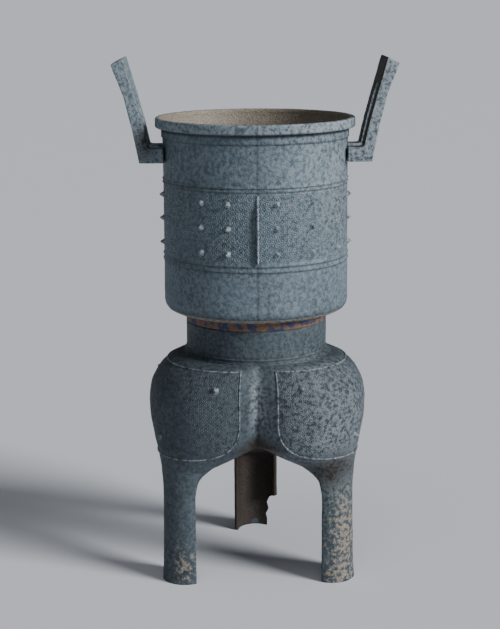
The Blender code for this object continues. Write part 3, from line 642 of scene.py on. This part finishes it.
def channel_section(height):
    """A leg's inner side at a height: a thin edge, the hollow of the channel and the other edge."""
    end_x, end_y = section_end(height)
    centre, radius = section_circle(height)
    channel = arc_points(centre, radius - WALL, math.atan2(end_y - WALL, end_x - centre), BELOW - 2, height)
    return [Vector((end_x, -end_y, height)), *channel, Vector((end_x, end_y, height))]


def levels_between(high, low, step):
    """Even levels from high down to low, both included."""
    count = max(1, round((high - low) / step))
    return [high - (high - low) * k / count for k in range(count + 1)]


def add_walls(shape, turn, outer_sections, inner_sections):
    """An outer and an inner face of rows of points, joined by a face across their last rows."""
    outer_rows, inner_rows = ([[shape.verts.new(turn @ point) for point in section] for section in sections]
                              for sections in (outer_sections, inner_sections))
    bridge(shape, outer_rows, over=True)
    bridge(shape, inner_rows)
    shape.faces.new([*reversed(outer_rows[-1]), *inner_rows[-1][1:-1]])


def lower_skin(neck, body, arch):
    """The skin from the neck down to the tops of the legs, open above, with its row caps below."""
    skin = bmesh.new()
    for angle in LOBE_ANGLES:
        add_walls(skin, turned(angle), neck + [outer_section(height) for height in body + arch],
                  [underside_section(height) for height in [ARCH_TOP] + arch])
    bmesh.ops.remove_doubles(skin, verts=skin.verts, dist=MERGE)
    bmesh.ops.recalc_face_normals(skin, faces=skin.faces)
    return skin


neck_rows = [neck_section(height) for height in levels_between(MOUTH, NECK_FOOT, NECK_STEP)]
for height, proud in NECK_LINES:
    neck_rows += [neck_section(height + offset, NECK_RADIUS + proud * share)
                  for offset, share in LINE_SECTION]
body_levels = levels_between(SHOULDER_TOP, SHOULDER_FOOT, SHOULDER_STEP)
body_levels += levels_between(LOBE_TOP, ARCH_TOP, LOBE_STEP)
skin = lower_skin(neck_rows, body_levels, levels_between(ARCH_TOP - ARCH_GAP, LEG_TOP, ARCH_STEP))
caps = [face for face in skin.faces if all(abs(vertex.co.z - LEG_TOP) < MERGE for vertex in face.verts)]
bmesh.ops.delete(skin, geom=caps, context="FACES_ONLY")
leg_levels = levels_between(LEG_FROM, 0, LEG_STEP)
for angle in LOBE_ANGLES:
    add_walls(skin, turned(angle), [outer_section(height) for height in [LEG_TOP] + leg_levels],
              [underside_section(LEG_TOP)] + [channel_section(height) for height in leg_levels])
bmesh.ops.remove_doubles(skin, verts=skin.verts, dist=MERGE)

# The lining is the skin again at fewer levels, moved inwards by the wall's thickness and joined to it
# at the lip.
lining = lower_skin([neck_section(MOUTH), neck_section(LINING_NECK_FOOT)],
                    levels_between(LINING_TOP, ARCH_TOP, LINING_STEP), list(LINING_ARCH))
lining.normal_update()
offsets = [vertex.normal * WALL * vertex.calc_shell_factor() for vertex in lining.verts]
for vertex, offset in zip(lining.verts, offsets):
    vertex.co -= offset
lining_mesh = bpy.data.meshes.new("Lining")
lining.to_mesh(lining_mesh)
lining.free()
skin.from_mesh(lining_mesh)
lip = sorted((vertex for vertex in skin.verts if vertex.is_boundary),
             key=lambda vertex: math.atan2(vertex.co.y - AXIS_Y, vertex.co.x))
outer_lip, inner_lip = [], []
for vertex in lip:
    outside = math.hypot(vertex.co.x, vertex.co.y - AXIS_Y) > NECK_RADIUS - WALL / 2
    (outer_lip if outside else inner_lip).append(vertex)
bridge(skin, [outer_lip, inner_lip], closed=True, over=True)
bmesh.ops.recalc_face_normals(skin, faces=skin.faces)
skin_tree = BVHTree.FromBMesh(skin)
lost = slab("Lost piece", BREAK_LINE, BREAK_NEAR + AXIS_Y, BREAK_FAR + AXIS_Y)
li = cut_from(finished("Lower pot skin", skin), lost)
roughened(li, amount=0.0003, scale=55)

# Deposits, painted light and painted shade of the lower pot. A patch is its kind, its strength, its centre
# and its size.
PANEL_HALF, PANEL_MIDDLE, PANEL_RISE = 48, 0.2700, 0.0485
PANEL_LOW, PANEL_RADIUS, PANEL_RELIEF = 0.200, 0.11, 0.8
CROTCH_FROM, CROTCH_HEIGHT, CROTCH_HALF, CROTCH_RADIUS, CROTCH_DARK = 30, 0.205, 0.035, 0.07, 0.9
UNDER_RADIUS, UNDER_LOW, UNDER_HIGH, UNDER_EARTH = 0.100, 0.12, 0.30, 0.6
REAR_FROM, REAR_HIGH, REAR_RADIUS, REAR_EARTH = 0.09, 0.17, 0.1485, 0.85
PATCHES = ((EARTH_AND_SHADE, 0.80, (0.10, -0.09, 0.175), (0.06, 0.07, 0.05)),
           (SAND, 0.62, (0.128, -0.10, 0.06), (0.055, 0.07, 0.16)),
           (SAND, 0.62, (0.120, -0.105, 0.015), (0.05, 0.06, 0.05)),
           (SAND, 0.55, (-0.105, -0.10, 0.03), (0.030, 0.05, 0.055)),
           (SAND, 0.40, (0.105, -0.10, 0.150), (0.05, 0.05, 0.04)),
           (BLOOM_AND_LIGHT, 0.70, (0.0, -0.12, 0.27), (0.016, 0.06, 0.06)))
LOBE_PALE, LOBE_PAINTED_LIGHT, LOBE_PAINTED_LIGHT_PATCH = 0.05, 0.45, ((0.11, -0.13, 0.24), (0.11, 0.10, 0.14))
NECK_SHADOWS = ((0.3290, 0.0012, 0.7, 0.107), (0.3340, 0.0010, 0.5, 0.104))
NECK_SHADOW_RADIUS = 0.0985
MIDDLE_SEAM_WIDTH, SEAM_SHADOW = 0.0012, 0.55
SIDE_SEAM, SIDE_SEAM_HALF, SIDE_SEAM_TOP, SIDE_SEAM_LOW, SIDE_SEAM_RADIUS = 49.6, 0.7, 0.3180, 0.235, 0.10
li_bronze = bronze("Li patina", dark=(0.012, 0.019, 0.026, 1), middle=(0.028, 0.042, 0.054, 1),
                   light=(0.105, 0.14, 0.165, 1), pitch=0.0046)
spots = points_of(li)
about = spots - np.array((0, AXIS_Y, 0))
heights = spots[:, 2]
radii = np.hypot(about[:, 0], about[:, 1])
angles = np.degrees(np.arctan2(about[:, 1], about[:, 0]))
from_crest = np.abs((angles - LOBE_ANGLES[0] + HALF_LOBE) % (2 * HALF_LOBE) - HALF_LOBE)
in_panel = (from_crest < PANEL_HALF) & (heights < PANEL_MIDDLE + PANEL_RISE) & (heights > PANEL_LOW)
in_panel &= radii > PANEL_RADIUS
# Darker brown where two lobes meet, just above the arch.
crotch = np.clip((from_crest - CROTCH_FROM) / (HALF_LOBE - CROTCH_FROM), 0, 1)
crotch *= np.clip(1 - np.abs(heights - CROTCH_HEIGHT) / CROTCH_HALF, 0, 1) * (radii > CROTCH_RADIUS)
under = (radii < UNDER_RADIUS) & (heights < UNDER_HIGH) & (heights > UNDER_LOW)
rear_leg = (about[:, 1] > REAR_FROM) & (heights < REAR_HIGH) & (radii < REAR_RADIUS)
marks = np.zeros((len(spots), 4))
marks[:, EARTH_AND_SHADE] = np.maximum.reduce((CROTCH_DARK * crotch, UNDER_EARTH * under, REAR_EARTH * rear_leg))
# Pale bloom all over, with painted light added on the right front lobe, where the light falls.
marks[:, BLOOM_AND_LIGHT] = LOBE_PALE + LOBE_PAINTED_LIGHT * nearness(spots, *LOBE_PAINTED_LIGHT_PATCH)
for kind, strength, centre, size in PATCHES:
    marks[:, kind] = np.maximum(marks[:, kind], strength * nearness(spots, centre, size))
# Painted shade along the front and side seams and at the neck lines.
on_middle_seam = (about[:, 1] < 0) & (heights < SHOULDER_FOOT) & (heights > ARCH_TOP)
hollow = SEAM_SHADOW * shade_line(about[:, 0], MIDDLE_SEAM_WIDTH) * on_middle_seam
for height, width, depth, limit in NECK_SHADOWS:
    hollow += depth * shade_line(heights - height, width) * ((radii > NECK_SHADOW_RADIUS) & (radii < limit))
on_side_seam = (np.abs(from_crest - SIDE_SEAM) < SIDE_SEAM_HALF) & (radii > SIDE_SEAM_RADIUS)
on_side_seam &= (heights < SIDE_SEAM_TOP) & (heights > SIDE_SEAM_LOW)
hollow += SEAM_SHADOW * on_side_seam
marked(li, marks, PANEL_RELIEF * in_panel, hollow)
shown("li_castings", li, li_bronze, "li")

# Panel outlines and studs of the lower pot: a thin raised bronze line round the shield on each lobe,
# half sunk in the skin, and studs in its upper corners and low on its crest, all cast with the pot.
OUTLINE_POINTS, CORNER_SHARE = 260, 0.2
PANEL_DROP, PANEL_POWER = 0.0800, 2 / 3.4
LINE_RADIUS, LINE_SIDES, LINE_PROUD = 0.0012, 2, 0.0002
LOBE_STUDS = ((-34.5, 0.2960), (34.5, 0.2960), (0, 0.2170))
LOBE_STUD_RADIUS, LOBE_STUD_HEIGHT, LOBE_STUD_SINK = 0.0068, 0.0078, 0.0018
LINE_BLOOM = 0.55


def on_skin(turn, angle, height):
    """The nearest point of a lobe's skin, and its normal, at an angle from its crest."""
    centre, radius = section_circle(height)
    slant = math.radians(angle)
    reach = centre * math.cos(slant) + math.sqrt(radius ** 2 - (centre * math.sin(slant)) ** 2)
    nearest, normal, _, _ = skin_tree.find_nearest(
        turn @ Vector((reach * math.cos(slant), reach * math.sin(slant), height)))
    return nearest, normal


outline = []
for k in range(OUTLINE_POINTS):
    turn = math.tau * k / OUTLINE_POINTS
    if turn < math.pi:
        across = math.copysign(abs(math.cos(turn)) ** PANEL_POWER, math.cos(turn))
        height = PANEL_MIDDLE - PANEL_DROP * math.sin(turn) ** PANEL_POWER
    else:
        share = turn / math.pi - 1
        across = min(1, max(0, (share - CORNER_SHARE) / (1 - 2 * CORNER_SHARE))) * 2 - 1
        height = PANEL_MIDDLE + PANEL_RISE * min(1, share / CORNER_SHARE, (1 - share) / CORNER_SHARE)
    outline.append((PANEL_HALF * across, height))
lines = bpy.data.curves.new("Panel lines", "CURVE")
lines.dimensions, lines.bevel_depth, lines.bevel_resolution = "3D", LINE_RADIUS, LINE_SIDES
places = []
for lobe_angle in LOBE_ANGLES:
    turn = turned(lobe_angle)
    spline = lines.splines.new("POLY")
    spline.points.add(len(outline) - 1)
    spline.use_cyclic_u = True
    for point, (angle, height) in zip(spline.points, outline):
        nearest, normal = on_skin(turn, angle, height)
        point.co = (*(nearest + normal * LINE_PROUD), 1)
    for angle, height in LOBE_STUDS:
        nearest, normal = on_skin(turn, angle, height)
        places.append((nearest - normal * LOBE_STUD_SINK, normal))
shape = bmesh.new()
shape.from_mesh(plain_mesh(in_scene("Panel lines", lines)))
shape.from_mesh(studs_mesh(places, LOBE_STUD_RADIUS, LOBE_STUD_HEIGHT, li_bronze))
line_mesh = finished("Panel lines and studs", shape)
marks = np.zeros((len(line_mesh.vertices), 4))
marks[:, BLOOM_AND_LIGHT] = LINE_BLOOM
marked(line_mesh, marks)
shown("li_lines_and_studs", line_mesh, li_bronze)

# Studio: a pale plain floor, a wide soft light from the right and front, a faint one from above, and a
# dim room round them that looks pale to the camera.
FLOOR_SIZE, FLOOR_TONE = 400, (0.70, 0.725, 0.775, 1)
ROOM_TONE, ROOM_LIGHT, ROOM_SEEN = (0.60, 0.64, 0.70, 1), 0.16, 0.72
LIGHTS = {"Key light": {"from": (0.85, -0.52, 0.50), "width": 22, "strength": 4.3},
          "Top light": {"from": (-0.1, -0.35, 1.0), "width": 30, "strength": 0.35}}
bpy.ops.mesh.primitive_plane_add(size=FLOOR_SIZE, location=(0, 0, 0))
floor = bpy.context.object
floor.name = "studio_floor"
paint = bpy.data.materials.new("Pale floor")
paint.use_nodes = True
paint.node_tree.nodes["Principled BSDF"].inputs["Base Color"].default_value = FLOOR_TONE
paint.node_tree.nodes["Principled BSDF"].inputs["Roughness"].default_value = 0.9
floor.data.materials.append(paint)
world = bpy.data.worlds.new("Pale room")
world.use_nodes = True
room = world.node_tree
background = room.nodes["Background"]
background.inputs["Color"].default_value = ROOM_TONE
seen = add_node(room, "ShaderNodeLightPath").outputs["Is Camera Ray"]
glow = add_node(room, "ShaderNodeMapRange", {"Value": seen, "To Min": ROOM_LIGHT, "To Max": ROOM_SEEN})
room.links.new(glow.outputs[0], background.inputs["Strength"])
bpy.context.scene.world = world
for name, lamp in LIGHTS.items():
    light = bpy.data.lights.new(name, "SUN")
    light.angle, light.energy = math.radians(lamp["width"]), lamp["strength"]
    sun = in_scene(name, light)
    sun.rotation_mode = "QUATERNION"
    sun.rotation_quaternion = Vector(lamp["from"]).to_track_quat("Z", "Y")

# Camera: it stands in front of the vessel and a little to the left, and looks slightly down.
TURN, PITCH, ROLL = math.radians(1.2), math.radians(12.55), math.radians(0.35)
DISTANCE, EYE_HEIGHT = 2.0594, 0.833
SHIFT_PIXELS, FRAME_PIXELS = -6.2, 629
eye = bpy.data.cameras.new("Camera")
eye.lens, eye.sensor_width = 83.9, 36
eye.shift_x = SHIFT_PIXELS / FRAME_PIXELS
camera = in_scene("Camera", eye)
stand = Vector((-DISTANCE * math.sin(TURN), AXIS_Y - DISTANCE * math.cos(TURN), EYE_HEIGHT))
camera.matrix_world = (Matrix.Translation(stand) @ Matrix.Rotation(-TURN, 4, "Z")
                       @ Matrix.Rotation(math.pi / 2 - PITCH, 4, "X") @ Matrix.Rotation(-ROLL, 4, "Z"))
bpy.context.scene.camera = camera
